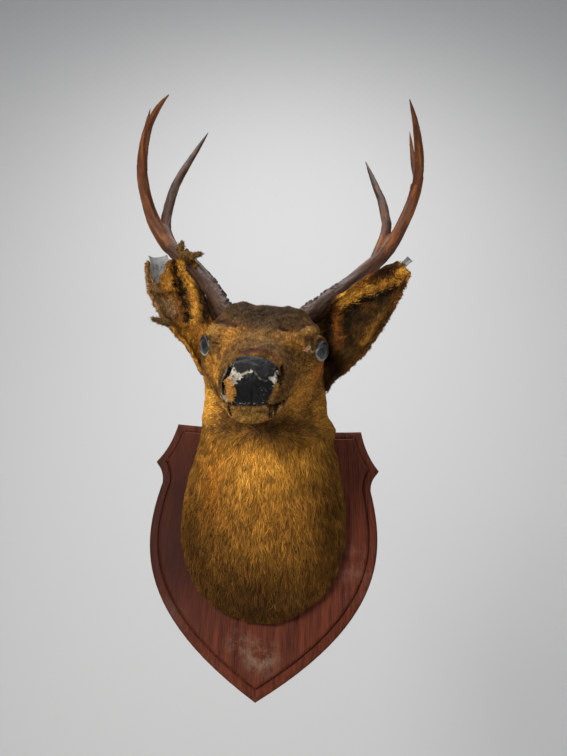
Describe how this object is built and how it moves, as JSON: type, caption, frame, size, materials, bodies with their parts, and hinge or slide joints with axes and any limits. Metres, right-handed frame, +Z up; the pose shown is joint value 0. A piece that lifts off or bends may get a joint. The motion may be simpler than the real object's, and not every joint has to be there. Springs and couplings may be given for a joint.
{
  "type": "deer shoulder mount",
  "caption": "Old taxidermy mount of an antlered deer's head and neck on a shield-shaped wooden wall plaque, with torn ears and a cracked nose.",
  "frame": {"origin": "on the plaque's flat back face, on its centre line, 0.200 m above its tip", "axes": "+Y into the wall, out of the plaque's back; +Z up along the plaque; +X towards the animal's left; the deer faces -Y"},
  "size_m": [0.441, 0.3108, 0.8991],
  "materials": {
    "varnished_wood": "old red-brown varnish, scuffed and dusty, fine upright grain",
    "coat": "short grizzled deer hair, gold on the neck and cheeks, dark brown on the forehead",
    "nose": "blue-black painted plaster, cracked, with bare cream plaster showing",
    "eye_glass": "dull dark blue-grey glass, backed with paint",
    "antler": "polished warm brown antler, knobbly and darker at the foot",
    "liner_metal": "dull blue-grey sheet metal, thin"
  },
  "bodies": {
    "root": {"plaque": "varnished_wood", "neck_lower": "coat", "neck_upper": "coat", "head": "coat", "muzzle": "coat", "jaw": "coat", "nose_pad": "nose", "eye_left": "eye_glass", "eye_right": "eye_glass", "ear_left": "coat", "ear_right": "coat", "ear_liner_left": "liner_metal", "ear_liner_right": "liner_metal", "antler_left_base": "antler", "antler_left_beam": "antler", "antler_left_tip": "antler", "antler_left_rear_tine": "antler", "antler_left_top_tine": "antler", "antler_right_base": "antler", "antler_right_beam": "antler", "antler_right_tip": "antler", "antler_right_rear_tine": "antler", "antler_right_top_tine": "antler"}
  },
  "joints": []
}
